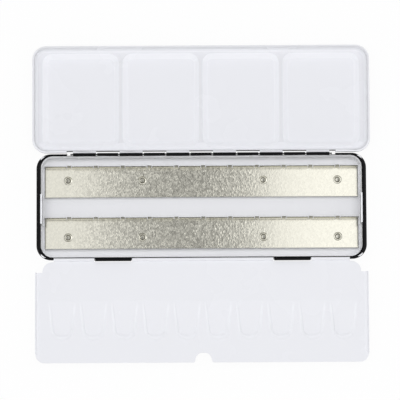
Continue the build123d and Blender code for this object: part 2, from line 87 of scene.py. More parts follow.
# Flap, lying open
FLAP_TOP = 12.0 * MM
FLAP_AXIS_Y = -34.1 * MM
FLAP_AXIS_Z = 12.6 * MM
FLAP_NEAR = FLAP_AXIS_Y - 1.5 * MM
FLAP_LIP_Y = FLAP_AXIS_Y - 8.2 * MM
FLAP_NECK = 101.7 * MM
FLAP_NECK_ROUND = 6.4 * MM
FLAP_BEND_X = 104.1 * MM
FLAP_BEND = 1.8 * MM
FLAP_LIP_EDGE = 0.2 * MM
FLAP_CORNER = 5.8 * MM
FLAP_CORNER_ROUND = 0.98 * FLAP_CORNER
FLAP_KNUCKLES = ((-94.4 * MM, -68.55 * MM), (-44.35 * MM, 45.75 * MM), (69.95 * MM, 94.4 * MM))
NOTCH_X = 0.9 * MM
NOTCH_HALF = 5.3 * MM
NOTCH_DEEP = 6.2 * MM
NOTCH_ROUND = 4.7 * MM
NOTCH_MOUTH_ROUND = 1.45 * MM

# Row of wells in the flap: its middle, and its hinge side from the free edge
WELL_ROW_X = 0.6 * MM
WELL_START = 39.5 * MM
# vertex attribute that holds the painted highlight and shade on the sides of the flap's wells
WELL_LIGHT_ATTRIBUTE = "well_painted_light"


def colour(name, description, default):
    """A colour that can be set in the panel."""
    return FloatVectorProperty(
        name=name, description=description, subtype="COLOR", size=3, min=0.0, max=1.0, default=default
    )


def length(name, description, default):
    """A length that can be set in the panel, in metres."""
    return FloatProperty(name=name, description=description, unit="LENGTH", default=default)


def level(name, description, default, most=10.0):
    """A strength or share that can be set in the panel, from 0 up."""
    return FloatProperty(name=name, description=description, min=0.0, max=most, default=default)


class TinFinishes(bpy.types.PropertyGroup):
    """Colours and surface of the tin"""

    white: colour("White enamel", "Colour of the enamel inside lid and flap", (0.874, 0.877, 0.9))
    # this white is lighter than the lid's: painted light that lifts the shade inside the tray and on the
    # plate
    lifted_tray_white: colour(
        "White enamel of the tray", "Colour of the enamel in the tray and on the insert's plate",
        (0.965, 0.968, 0.985),
    )
    black: colour("Black enamel", "Colour of the enamel outside", (0.003, 0.003, 0.0036))
    tin: colour("Tinplate", "Colour of the bare tinplate", (0.85, 0.832, 0.735))
    wire: colour("Wire", "Colour of the hinge pins", (0.62, 0.62, 0.61))
    # the lid's raised parts get painted shade, and the sloping sides of its wells get painted light
    ledge_shade_share: level("Ledge shade", "White of the lid's raised parts, to the rest", 0.925)
    slope_light_share: level("Slope light", "White of the sloping sides of the lid's wells, to the rest", 1.055)
    # strength of the painted highlight and shade on the sides of the flap's wells
    rim_share: level("Well light", "How much the white varies on the sides of the flap's wells", 0.07)
    enamel_roughness: level("Enamel roughness", "Roughness of the enamel", 0.24, most=1.0)
    tin_roughness: level("Tinplate roughness", "Roughness of the bare tinplate", 0.13, most=1.0)


class TinSizes(bpy.types.PropertyGroup):
    """Sizes of the pressed flap and of the eyelets"""

    sheet: length("Sheet", "Thickness of the sheet", 0.4 * MM)
    well_depth: length("Well depth", "Depth of a flap well", 1.7 * MM)
    well_count: IntProperty(name="Wells", description="Wells in the flap", min=1, default=10)
    well_pitch: length("Well pitch", "Between two flap wells", 19.9 * MM)
    well_length: length("Well length", "Length of a flap well", 25.3 * MM)
    well_ramp: length("Well ramp", "How far a well slopes down from the hinge side", 21.0 * MM)
    well_wide: length("Well width", "Half width of a well on the hinge side", 9.3 * MM)
    well_narrow: length("Well round", "Radius of a well's round end", 7.2 * MM)
    well_edge: length("Well edge", "Width of a well's pressed side", 2.1 * MM)
    eyelets_inner: length("Inner eyelets", "Middle to the inner eyelets", 38.8 * MM)
    eyelets_outer: length("Outer eyelets", "Middle to the outer eyelets", 86.5 * MM)
    eyelets_shift: length("Eyelet shift", "Shift of the eyelets", 0.9 * MM)
    eyelets_row: length("Eyelet row", "Middle to a row of eyelets", 18.4 * MM)
    grid: length("Grid", "Spacing of the flap's faces", 0.6 * MM)


class StageSettings(bpy.types.PropertyGroup):
    """Camera and lamps"""

    distance: length("Distance", "Camera to the tin", 2.5)
    tilt: FloatProperty(
        name="Tilt",
        description="Camera off the vertical, towards the flap",
        subtype="ANGLE",
        default=math.radians(8.0),
    )
    roll: FloatProperty(
        name="Roll", description="Turn of the picture", subtype="ANGLE", default=math.radians(0.3)
    )
    view_width: length("View width", "Width seen at the tin", 0.2558)
    aim: FloatVectorProperty(
        name="Aim",
        description="Point in the middle of the picture",
        subtype="TRANSLATION",
        size=3,
        default=(-0.0009, 0.0041, 0.012),
    )
    top_power: level("Top lamp", "Power of the lamp overhead, in watts", 18.0, most=1000.0)
    top_size: FloatVectorProperty(
        name="Top lamp size",
        description="Length and width of the lamp overhead",
        unit="LENGTH",
        size=2,
        default=(2.2, 0.9),
    )
    top_place: FloatVectorProperty(
        name="Top lamp place",
        description="Where the lamp overhead hangs",
        subtype="TRANSLATION",
        size=3,
        default=(-0.05, 0.0, 1.7),
    )
    horizon_level: level("Room low down", "Strength of the room light at the horizon", 0.95)
    zenith_level: level("Room overhead", "Strength of the room light overhead", 0.2)
    front_share: level("Room in front", "Share of room light in front, to the rest", 1.3)
    left_sky: level("Left light", "Strength of the ceiling light on the left", 0.9)
    right_sky: level("Right light", "Strength of the ceiling light on the right", 1.14)
    dark_sky: level("Gap light", "Strength of the gap between the two", 0.235)
    window_light: level("Window", "Extra strength of the ceiling light far right", 0.8)
    back_sky: level("Back light", "Strength of the ceiling light at the back", 0.5)
    left_ramp: FloatVectorProperty(
        name="Left edge",
        description="Where the left light starts and is full, as seen from the tin",
        size=2,
        default=(-0.06, -0.18),
    )
    right_ramp: FloatVectorProperty(
        name="Right edge",
        description="Where the right light starts and is full, as seen from the tin",
        size=2,
        default=(-0.015, 0.19),
    )
    ceiling_height: length("Ceiling height", "Height of the ceiling", 1.6)
    floor_share: level(
        "Floor white", "Share of plain white in the floor as the camera sees it", 0.96, most=1.0
    )


# Node helpers


def plug(tree, socket, value):
    """Gives an input a value or the output of another node."""
    if isinstance(value, bpy.types.NodeSocket):
        tree.links.new(value, socket)
    else:
        socket.default_value = value


def new_node(tree, kind, place=(0, 0), **values):
    """Adds a node; each value goes to the input of that name, or else to the setting."""
    node = tree.nodes.new(kind)
    node.location = place
    for name, value in values.items():
        socket = node.inputs.get(name.replace("_", " "))
        if socket is None:
            setattr(node, name, value)
        else:
            plug(tree, socket, value)
    return node


def joined(tree, kind, place, values, **settings):
    """Adds a node whose inputs take the values in their order, and returns its output."""
    node = new_node(tree, kind, place, **settings)
    for socket, value in zip(node.inputs, values):
        plug(tree, socket, value)
    return node.outputs[0]


def maths(tree, place, operation, *values):
    """Adds a Math node and returns its output."""
    return joined(tree, "ShaderNodeMath", place, values, operation=operation)


def remap(tree, place, value, source, target=(0.0, 1.0), kind="LINEAR"):
    """Adds a node that maps the source range to the target range, and returns its output."""
    node = new_node(
        tree, "ShaderNodeMapRange", place, interpolation_type=kind, Value=value,
        From_Min=source[0], From_Max=source[1], To_Min=target[0], To_Max=target[1],
    )
    return node.outputs["Result"]


def scaled(tree, place, paint, factor):
    """Adds a node that makes a colour lighter or darker, and returns its output."""
    node = new_node(tree, "ShaderNodeVectorMath", place, operation="SCALE", Scale=factor)
    tree.links.new(paint, node.inputs[0])
    return node.outputs[0]


def axes(tree, place, vector):
    """Adds a node that splits a vector, and returns its outputs X, Y and Z."""
    return new_node(tree, "ShaderNodeSeparateXYZ", place, Vector=vector).outputs


def emptied(owner):
    """Empties the node tree of a new material or world, and returns it."""
    owner.use_nodes = True
    owner.node_tree.nodes.clear()
    return owner.node_tree


def new_group(name, numbers, results):
    """Starts a node group that takes a colour and numbers, and puts out a colour and results."""
    group = bpy.data.node_groups.new(name, "ShaderNodeTree")
    face = group.interface
    face.new_socket("Colour", in_out="INPUT", socket_type="NodeSocketColor")
    for label, default in numbers.items():
        face.new_socket(label, in_out="INPUT", socket_type="NodeSocketFloat").default_value = default
    face.new_socket("Colour", in_out="OUTPUT", socket_type="NodeSocketColor")
    for label in results:
        face.new_socket(label, in_out="OUTPUT", socket_type="NodeSocketFloat")
    return group


# Finishes


def enamel_group():
    """Node group: faint unevenness, orange peel and specks of sprayed enamel."""
    group = bpy.data.node_groups.get("enamel_coat")
    if group:
        return group
    numbers = {"Roughness": 0.16, "Shift": 0.03, "Wall shade": 1.0}
    group = new_group("enamel_coat", numbers, ("Roughness", "Height"))
    given = new_node(group, "NodeGroupInput", (-900, 0)).outputs
    place = new_node(group, "ShaderNodeTexCoord", (-900, -300)).outputs["Object"]
    cloud = new_node(
        group, "ShaderNodeTexNoise", (-650, 200), Vector=place, Scale=22.0, Detail=3.0, Roughness=0.5
    )
    peel = new_node(
        group, "ShaderNodeTexNoise", (-650, -100), Vector=place, Scale=620.0, Detail=2.0, Roughness=0.45
    )
    speck = new_node(
        group, "ShaderNodeTexVoronoi", (-650, -400), Vector=place, Scale=260.0, Randomness=1.0
    )
    darkest = maths(group, (-400, 350), "SUBTRACT", 1.0, given["Shift"])
    uneven = remap(group, (-400, 200), cloud.outputs["Fac"], (0.1, 0.9), (darkest, 1.0))
    dots = remap(group, (-400, -400), speck.outputs["Distance"], (0.02, 0.06), (0.94, 1.0))
    shade = maths(group, (-150, 100), "MULTIPLY", uneven, dots)

    # upright faces across the length can be darker
    surface = new_node(group, "ShaderNodeNewGeometry", (-900, 500))
    facing = axes(group, (-650, 500), surface.outputs["True Normal"])
    across = maths(group, (-400, 500), "ABSOLUTE", facing["X"])
    wall = remap(group, (-150, 500), across, (0.7, 0.95), (1.0, given["Wall shade"]))
    shade = maths(group, (0, 300), "MULTIPLY", shade, wall)

    rough = maths(group, (150, 0), "MULTIPLY_ADD", cloud.outputs["Fac"], 0.06, given["Roughness"])
    new_node(
        group, "NodeGroupOutput", (700, 0), Colour=scaled(group, (150, 200), given["Colour"], shade),
        Roughness=rough, Height=peel.outputs["Fac"],
    )
    return group


def spangle_group():
    """Node group: fine uneven face of bare tinplate, with painted shade on its sides, posts, front faces
    and ends and in the eyelets' cups, and darker top edges.
    """
    group = bpy.data.node_groups.get("tin_spangle")
    if group:
        return group
    numbers = {"Roughness": 0.16, "Side shade": 0.4, "Cup shade": 0.0}
    group = new_group("tin_spangle", numbers, ("Roughness", "Height", "Bow"))
    given = new_node(group, "NodeGroupInput", (-1100, 0)).outputs
    place = new_node(group, "ShaderNodeTexCoord", (-1300, -200)).outputs["Object"]
    spot = axes(group, (-1100, 1100), place)
    stretch = new_node(
        group, "ShaderNodeMapping", (-1100, -300), Vector=place, Scale=(1.35, 0.95, 1.0)
    )
    grain = new_node(
        group, "ShaderNodeTexNoise", (-800, -300), Vector=stretch.outputs[0],
        Scale=820.0, Detail=2.0, Roughness=0.6, Distortion=0.4,
    )
    crystal = new_node(
        group, "ShaderNodeTexVoronoi", (-800, -600), Vector=stretch.outputs[0],
        Scale=800.0, Randomness=1.0,
    )
    cloud = new_node(group, "ShaderNodeTexNoise", (-800, 300), Vector=place, Scale=45.0, Detail=3.0)

    # the grain is strong near the middle and fades towards the ends of the rails
    fade = (30.0 * MM, 76.0 * MM)
    shifted = maths(group, (-1100, 1400), "ADD", spot["X"], GRAIN_SHIFT)
    spread = maths(group, (-900, 1400), "ABSOLUTE", shifted)
    grain_strength = remap(group, (-700, 1300), spread, fade, (1.35, 0.2), "SMOOTHSTEP")
    cell = new_node(group, "ShaderNodeSeparateColor", (-550, -600), Color=crystal.outputs["Color"])
    cells = remap(group, (-450, 100), cell.outputs[0], (0.0, 1.0), (-0.26, 0.12))
    shade = maths(group, (-300, 100), "MULTIPLY_ADD", cells, grain_strength, 1.0)

    # painted shade on upright faces; the top edges are darker too
    surface = new_node(group, "ShaderNodeNewGeometry", (-1300, 700))
    facing = axes(group, (-1100, 700), surface.outputs["True Normal"])
    across = maths(group, (-450, 700), "ABSOLUTE", facing["X"])
    upright = maths(group, (-450, 850), "ABSOLUTE", facing["Y"])
    upright = maths(group, (-150, 800), "MAXIMUM", upright, across)
    edge = remap(group, (-450, 500), spot["Z"], (RAIL_EDGE_Z - 0.1 * MM, RAIL_EDGE_Z))
    shade_and_edge = maths(group, (0, 700), "MAXIMUM", upright, edge)
    side = remap(group, (150, 700), shade_and_edge, (0.3, 0.9), (1.0, given["Side shade"]))

    # painted shadow on the posts between the tongues, and painted shade on the outer front faces and the
    # ends of the rails
    row = maths(group, (-900, 900), "SIGN", spot["Y"])
    off = maths(group, (-700, 900), "MULTIPLY_ADD", row, -RAIL_Y, spot["Y"])
    post_shadow = remap(group, (-450, 1100), off, (POST_OFFSET, POST_OFFSET + 0.1 * MM), (1.0, 0.3))
    front = remap(group, (-450, 1300), off, (FRONT_OFFSET, FRONT_OFFSET - 0.08 * MM), (1.0, 0.48))
    reach = maths(group, (-900, 1300), "ABSOLUTE", spot["X"])
    end = remap(group, (-700, 1500), reach, (RAIL_END - 0.7 * MM, RAIL_END - 0.4 * MM), (1.0, 0.4))

    # painted shade in the cups of the eyelets, from their rims down
    cup = (2.05 * MM, 1.3 * MM)
    depth = remap(group, (0, 500), spot["Z"], cup)
    hidden = maths(group, (150, 500), "MULTIPLY", depth, given["Cup shade"])
    hollow = maths(group, (300, 500), "SUBTRACT", 1.0, hidden)
    for index, factor in enumerate((side, post_shadow, front, end, hollow)):
        shade = maths(group, (150 * index, 300), "MULTIPLY", shade, factor)

    haze = maths(group, (300, -150), "MULTIPLY_ADD", cloud.outputs["Fac"], 0.05, given["Roughness"])
    height = maths(
        group, (-300, -400), "MULTIPLY_ADD", crystal.outputs["Distance"], 0.5, grain.outputs["Fac"]
    )
    # bow: the long sheet isn't quite flat
    square = maths(group, (-300, 1000), "MULTIPLY", spot["X"], spot["X"])
    new_node(
        group, "NodeGroupOutput", (1100, 0), Colour=scaled(group, (900, 200), given["Colour"], shade),
        Roughness=haze, Height=maths(group, (-150, -400), "MULTIPLY", height, grain_strength),
        Bow=maths(group, (-100, 1000), "MULTIPLY", square, -0.5),
    )
    return group


def coated_material(
    name, group, paint, bump, relief=0.02 * MM, gloss=0.5, metallic=0.0, rim_share=0.0, **skin_values
):
    """A Principled material fed by one of the node groups, which takes the skin values."""
    material = bpy.data.materials.get(name)
    if material:
        return material
    material = bpy.data.materials.new(name)
    tree = emptied(material)
    skin = new_node(
        tree, "ShaderNodeGroup", (-200, 0), node_tree=group, Colour=(*paint, 1.0), **skin_values
    )
    tint = skin.outputs["Colour"]
    # painted highlight and shade, read from the flap's vertex attribute
    if rim_share:
        rim = new_node(tree, "ShaderNodeAttribute", (-400, 300), attribute_name=WELL_LIGHT_ATTRIBUTE)
        share = maths(tree, (-200, 300), "MULTIPLY_ADD", rim.outputs["Fac"], rim_share, 1.0)
        tint = scaled(tree, (50, 200), tint, share)
    raised = new_node(
        tree, "ShaderNodeBump", (50, -200), Strength=bump, Distance=relief, Height=skin.outputs["Height"]
    )
    if "Bow" in skin.outputs:
        bow = new_node(
            tree, "ShaderNodeBump", (-50, -400), Strength=1.0, Distance=1.0, Height=skin.outputs["Bow"]
        )
        tree.links.new(bow.outputs["Normal"], raised.inputs["Normal"])
    shader = new_node(
        tree, "ShaderNodeBsdfPrincipled", (300, 0), Base_Color=tint, Metallic=metallic,
        Roughness=skin.outputs["Roughness"], Specular_IOR_Level=gloss, Normal=raised.outputs["Normal"],
    )
    new_node(tree, "ShaderNodeOutputMaterial", (600, 0), Surface=shader.outputs[0])
    return material


def light_enamel(name, paint, **values):
    """Glossy white enamel with a faint orange peel."""
    roughness = bpy.context.scene.tin_finishes.enamel_roughness
    return coated_material(
        name, enamel_group(), paint, 0.1, gloss=0.25, Roughness=roughness, Shift=0.006, **values
    )


def white_enamel(name="white_coat", share=1.0, rim_share=0.0):
    """White enamel of lid and flap, scaled by a share: above 1 as painted light, below 1 as painted shade.
    """
    brightest = 0.98
    white = bpy.context.scene.tin_finishes.white
    paint = [min(channel * share, brightest) for channel in white]
    return light_enamel(name, paint, rim_share=rim_share)


def ledge_shade_enamel():
    """White enamel of the lid's raised parts, darker as painted shade."""
    return white_enamel("ledge_shade_coat", bpy.context.scene.tin_finishes.ledge_shade_share)


def slope_light_enamel():
    """White enamel of the sloping sides of the lid's wells, lighter as painted light."""
    return white_enamel("slope_light_coat", bpy.context.scene.tin_finishes.slope_light_share)


def well_enamel():
    """White enamel of the flap, with painted highlight and shade on the sides of its wells."""
    return white_enamel("well_coat", rim_share=bpy.context.scene.tin_finishes.rim_share)


def tray_enamel():
    """White enamel of the tray, painted lighter to lift the shade inside it."""
    return light_enamel("tray_coat", bpy.context.scene.tin_finishes.lifted_tray_white)


def plate_enamel():
    """White enamel of the insert's plate, painted lighter like the tray's, with its end walls in painted
    shade.
    """
    return light_enamel("plate_coat", bpy.context.scene.tin_finishes.lifted_tray_white, Wall_shade=0.42)


def black_enamel():
    """Black enamel of the outside, rougher and more uneven than the white."""
    tin = bpy.context.scene.tin_finishes
    return coated_material(
        "black_coat", enamel_group(), tin.black, 0.14, gloss=0.12,
        Roughness=tin.enamel_roughness + 0.06, Shift=0.15,
    )


def bare_tinplate():
    """Tinplate of the rails, with painted shade on their upright faces."""
    tin = bpy.context.scene.tin_finishes
    return coated_material(
        "bare_tinplate", spangle_group(), tin.tin, 1.0, relief=0.06 * MM, metallic=1.0,
        Roughness=tin.tin_roughness, Side_shade=0.66,
    )


def eyelet_tinplate():
    """Tinplate of the eyelets, with painted shade down in their cups."""
    tin = bpy.context.scene.tin_finishes
    return coated_material(
        "eyelet_tinplate", spangle_group(), tin.tin, 0.5, relief=0.04 * MM, metallic=1.0,
        Roughness=tin.tin_roughness, Side_shade=1.0, Cup_shade=0.45,
    )


def steel_wire():
    """Steel wire of the hinge pins, with faint painted shade on upright faces."""
    return coated_material(
        "pin_wire", spangle_group(), bpy.context.scene.tin_finishes.wire, 0.1, metallic=1.0,
        Roughness=0.28, Side_shade=0.9,
    )


# Mesh helpers


def merged_copy(node):
    """A bmesh of a CAD node with its loose triangles joined."""
    mesh = bmesh.new()
    mesh.from_mesh(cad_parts[node].data)
    bmesh.ops.remove_doubles(mesh, verts=mesh.verts, dist=0.002 * MM)
    return mesh


def looks_out(face, middle, reach, corner):
    """Whether an upright face looks away from the middle of a rounded box."""
    spot = face.calc_center_median() - middle
    away = Vector((0.0, 0.0, 0.0))
    for axis in (0, 1):
        limit = reach[axis] - corner
        away[axis] = spot[axis] - max(-limit, min(limit, spot[axis]))
    return abs(face.normal.z) < 0.5 and away.dot(face.normal) > 0.0


def round_corners(mesh, places, radius, segments):
    """Rounds the corners of a flat outline that stand at the given places."""
    chosen = [
        vert for vert in mesh.verts
        if any(math.hypot(vert.co.x - x, vert.co.y - y) < TOUCH for x, y in places)
    ]
    bmesh.ops.bevel(
        mesh, geom=chosen, offset=radius, offset_type="OFFSET", segments=segments,
        profile=0.5, material=-1, affect="VERTICES",
    )


def cut(mesh, axis, where):
    """Cuts a flat sheet along a line at right angles to an axis."""
    normal = Vector((0.0, 0.0, 0.0))
    normal[axis] = 1.0
    everything = mesh.verts[:] + mesh.edges[:] + mesh.faces[:]
    bmesh.ops.bisect_plane(
        mesh, geom=everything, dist=0.0001 * MM, plane_co=normal * where, plane_no=normal
    )


def add_tube(mesh, left, right, y, z, outer, inner):
    """A rolled knuckle: a tube along X."""
    turn = Matrix.Translation((left, y, z)) @ Matrix.Rotation(math.pi / 2, 4, "Y")
    rings = [
        bmesh.ops.create_circle(mesh, cap_ends=False, segments=28, radius=r, matrix=turn)["verts"]
        for r in (outer, inner)
    ]
    edges = list(dict.fromkeys(edge for ring in rings for vert in ring for edge in vert.link_edges))
    disc = bmesh.ops.bridge_loops(mesh, edges=edges)["faces"]
    grown = bmesh.ops.extrude_face_region(mesh, geom=disc)["geom"]
    verts = [item for item in grown if isinstance(item, bmesh.types.BMVert)]
    bmesh.ops.translate(mesh, verts=verts, vec=(right - left, 0, 0))
    linked = set(disc) | {item for item in grown if isinstance(item, bmesh.types.BMFace)}
    for vert in verts:
        linked.update(vert.link_faces)
    bmesh.ops.recalc_face_normals(mesh, faces=list(linked))


def finish_piece(mesh, name, materials, body, angle=32.0):
    """Turns a bmesh into a finished piece that rides on a body."""
    data = bpy.data.meshes.new(name)
    mesh.to_mesh(data)
    mesh.free()
    for material in materials:
        data.materials.append(material)
    data.polygons.foreach_set("use_smooth", [True] * len(data.polygons))
    data.set_sharp_from_angle(angle=math.radians(angle))
    piece = bpy.data.objects.new(name, data)
    bpy.context.scene.collection.objects.link(piece)
    shading = piece.modifiers.new("even_shading", "WEIGHTED_NORMAL")
    shading.mode = "FACE_AREA_WITH_ANGLE"
    shading.weight = 100
    shading.keep_sharp = True
    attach(piece, body)
    return piece


def dress_node(node, material):
    """Gives a carried-over CAD node its material."""
    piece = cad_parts[node]
    piece.data.materials.clear()
    piece.data.materials.append(material)


# Pieces


class TIN_OT_tray(bpy.types.Operator):
    """Body tray: black enamel outside and over the rim, white inside"""

    bl_idname = "tin.tray"
    bl_label = "Body tray"

    def execute(self, context):
        mesh = merged_copy("body_tray")
        # the right front knuckle sits a little further left than in the solid
        for vert in mesh.verts:
            x, y, z = vert.co
            if y < KNUCKLE_Y and KNUCKLE_X[0] < x < KNUCKLE_X[1] and z > KNUCKLE_Z:
                vert.co.x -= KNUCKLE_SHIFT
        for face in mesh.faces:
            face.normal_update()
            face.material_index = 1 if self.is_white(face) else 0
        piece = finish_piece(mesh, "tray_enamelled", [black_enamel(), tray_enamel()], "tray")
        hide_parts("body_tray")
        return {"FINISHED"}

    def is_white(self, face):
        """Whether a face is inside the tray, between the underside and the rim."""
        x, y, z = face.calc_center_median()
        inside = abs(x) < TRAY_INNER[0] and abs(y) < TRAY_INNER[1]
        inside = inside and TRAY_FLOOR_Z < z < TRAY_RIM_Z
        return inside and not looks_out(face, Vector(), TRAY_INNER, CORNER)


class TIN_OT_lid(bpy.types.Operator):
    """Lid: white mixing wells inside, black enamel outside"""

    bl_idname = "tin.lid"
    bl_label = "Lid"

    def execute(self, context):
        mesh = merged_copy("lid")
        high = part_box("lid")[1]
        near = LID_EDGE_Y + LID_BEAD - SLACK
        far = high.y - LID_BEAD + SLACK
        middle = Vector((0.0, (near + far) / 2, 0.0))
        reach = (high.x - LID_BEAD + SLACK, (far - near) / 2)
        for face in mesh.faces:
            face.normal_update()
            face.material_index = self.coat(face, middle, reach)
        coats = [black_enamel(), white_enamel(), ledge_shade_enamel(), slope_light_enamel()]
        piece = finish_piece(mesh, "lid_enamelled", coats, "lid")
        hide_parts("lid")
        return {"FINISHED"}

    def coat(self, face, middle, reach):
        """Number of a face's coat: 0 black, 1 white, 2 white with painted shade on raised parts, 3 white
        with painted light on the wells' slopes.
        """
        # how far up a face's normal points where the face is steep, gently sloping or level
        steep, gentle, level = 0.05, 0.3, 0.95
        wall_foot = 6.0 * MM
        ledge_z = 6.6 * MM
        ledge_y = 42.0 * MM
        well_top = 6.9 * MM
        spot = face.calc_center_median()
        up = face.normal.z
        if spot.y < LID_HINGE_Y:
            return 0
        if up <= steep:
            within = abs(spot.x) < reach[0] and abs(spot.y - middle.y) < reach[1]
            wall = within and abs(up) <= steep and spot.z > wall_foot
            return 1 if wall and not looks_out(face, middle, reach, CORNER) else 0
        # painted shade on the raised parts away from the hinge
        if up > level and spot.z > ledge_z and spot.y > ledge_y:
            return 2
        # painted light on the sloping sides of the wells
        return 3 if gentle < up < level and spot.z < well_top else 1


def well_share(across, along, sizes):
    """How far down a thumb-shaped well's side a point is: 0 on the sheet, 1 on its floor."""
    if along < 0 or along > sizes.well_length:
        return 0.0
    edge = sizes.well_edge
    straight = sizes.well_length - sizes.well_narrow
    slope = (sizes.well_wide - sizes.well_narrow) / straight
    if along < straight:
        inset = (sizes.well_wide - slope * along - abs(across)) / math.hypot(1.0, slope)
    else:
        # the side is gentler at the tip of the round end
        reach = math.hypot(across, along - straight)
        inset = sizes.well_narrow - reach
        edge *= 1.0 + 0.9 * ((along - straight) / max(reach, edge)) ** 2
    rise = min(max(inset / edge, 0.0), 1.0)
    return rise * rise * (3.0 - 2.0 * rise)


def well_light(share, across, along):
    """Painted light and shade on a well's side: lighter on the right and at the end, darker at the foot on
    the left.
    """
    grow_over = 5.0 * MM
    end_from, end_over, end_gain = 18.0 * MM, 5.0 * MM, 1.2
    if not 0.0 < share < 1.0:
        return 0.0
    end = min(max(along - end_from, 0.0) / end_over, 1.0)
    lit = math.sin(math.pi * share)
    side = lit if across > 0.0 else math.sin(2.0 * math.pi * share)
    return min(along / grow_over, 1.0) * (side + end * (end_gain * lit - side))


class TIN_OT_flap(bpy.types.Operator):
    """Mixing flap: one pressed sheet with thumb-shaped wells, side lips and rolled knuckles"""

    bl_idname = "tin.flap"
    bl_label = "Mixing flap"

    def execute(self, context):
        sizes = context.scene.tin_sizes
        low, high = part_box("palette_flap")
        mesh = self.outline(low.y, high.x)
        self.grid(mesh, low.y, sizes)
        self.wells(mesh, low.y + WELL_START, sizes)
        for side in (-1, 1):
            self.lip(mesh, side, low.y)
        bmesh.ops.remove_doubles(mesh, verts=mesh.verts, dist=0.001 * MM)
        bmesh.ops.recalc_face_normals(mesh, faces=mesh.faces)
        if sum(face.normal.z for face in mesh.faces) < 0:
            bmesh.ops.reverse_faces(mesh, faces=mesh.faces)
        bmesh.ops.solidify(mesh, geom=mesh.faces[:], thickness=sizes.sheet)
        for left, right in FLAP_KNUCKLES:
            ends = (left - SLACK, right + SLACK)
            add_tube(mesh, *ends, FLAP_AXIS_Y, FLAP_AXIS_Z, outer=1.0 * MM, inner=0.6 * MM)
        piece = finish_piece(mesh, "flap_enamelled", [well_enamel()], "flap", angle=40.0)
        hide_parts("palette_flap")
        return {"FINISHED"}

    def outline(self, free, out_x):
        """The flat sheet, with tabs for the knuckles and a notch in the free edge."""
        mesh = bmesh.new()
        points = [(-FLAP_NECK, FLAP_LIP_Y), (-FLAP_NECK, FLAP_NEAR)]
        for left, right in FLAP_KNUCKLES:
            points += [(left, FLAP_NEAR), (left, FLAP_AXIS_Y)]
            points += [(right, FLAP_AXIS_Y), (right, FLAP_NEAR)]
        points += [(FLAP_NECK, FLAP_NEAR), (FLAP_NECK, FLAP_LIP_Y)]
        points += [(FLAP_BEND_X, FLAP_LIP_Y), (FLAP_BEND_X, free + FLAP_CORNER)]
        points += [(out_x, free + FLAP_CORNER), (out_x, free)]
        sides = (NOTCH_X + NOTCH_HALF, NOTCH_X - NOTCH_HALF)
        points += [(sides[0], free), (sides[0], free + NOTCH_DEEP)]
        points += [(sides[1], free + NOTCH_DEEP), (sides[1], free)]
        points += [(-out_x, free), (-out_x, free + FLAP_CORNER)]
        points += [(-FLAP_BEND_X, free + FLAP_CORNER), (-FLAP_BEND_X, FLAP_LIP_Y)]
        mesh.faces.new([mesh.verts.new((x, y, FLAP_TOP)) for x, y in points])
        necks = [(-FLAP_NECK, FLAP_NEAR), (FLAP_NECK, FLAP_NEAR)]
        round_corners(mesh, necks, FLAP_NECK_ROUND, 10)
        round_corners(mesh, [(-out_x, free), (out_x, free)], FLAP_CORNER_ROUND, 10)
        round_corners(mesh, [(x, free + NOTCH_DEEP) for x in sides], NOTCH_ROUND, 8)
        round_corners(mesh, [(x, free) for x in sides], NOTCH_MOUTH_ROUND, 5)
        return mesh

    def grid(self, mesh, free, sizes):
        """Cuts the sheet into small faces where the wells go."""
        step = sizes.grid * 1.0
        far = free + WELL_START - sizes.well_length
        for row in range(int(sizes.well_length / step) + 3):
            cut(mesh, 1, far + (row - 1) * step)
        for y in (FLAP_LIP_Y, free + FLAP_CORNER):
            cut(mesh, 1, y)
        columns = int(2 * FLAP_BEND_X / step)
        for column in range(columns + 1):
            cut(mesh, 0, FLAP_BEND_X * (2 * column / columns - 1))

    def wells(self, mesh, near, sizes):
        """Presses the wells down and marks the painted highlight and shade on their sides."""
        first = WELL_ROW_X - sizes.well_pitch * (sizes.well_count - 1) / 2
        rim = mesh.verts.layers.float.new(WELL_LIGHT_ATTRIBUTE)
        for vert in mesh.verts:
            index = round((vert.co.x - first) / sizes.well_pitch)
            if not 0 <= index < sizes.well_count:
                continue
            across = vert.co.x - first - index * sizes.well_pitch
            along = near - vert.co.y
            share = well_share(across, along, sizes)
            vert.co.z -= sizes.well_depth * share * min(along / sizes.well_ramp, 1.0)
            vert[rim] = well_light(share, across, along)

    def lip(self, mesh, side, free):
        """Turns the edge beside a bend up a quarter round."""
        edges = [
            edge for edge in mesh.edges
            if len(edge.link_faces) == 1 and all(
                abs(vert.co.x - side * FLAP_BEND_X) < TOUCH
                and free + FLAP_CORNER - TOUCH < vert.co.y < FLAP_LIP_Y + TOUCH
                for vert in edge.verts
            )
        ]
        turned = bmesh.ops.spin(
            mesh, geom=edges, cent=(side * FLAP_BEND_X, 0, FLAP_TOP + FLAP_BEND), axis=(0, 1, 0),
            angle=-side * math.pi / 2, steps=7, use_merge=False,
        )
        last = [item for item in turned["geom_last"] if isinstance(item, bmesh.types.BMEdge)]
        raised = bmesh.ops.extrude_edge_only(mesh, edges=last)
        verts = [item for item in raised["geom"] if isinstance(item, bmesh.types.BMVert)]
        bmesh.ops.translate(mesh, verts=verts, vec=(0, 0, FLAP_LIP_EDGE))


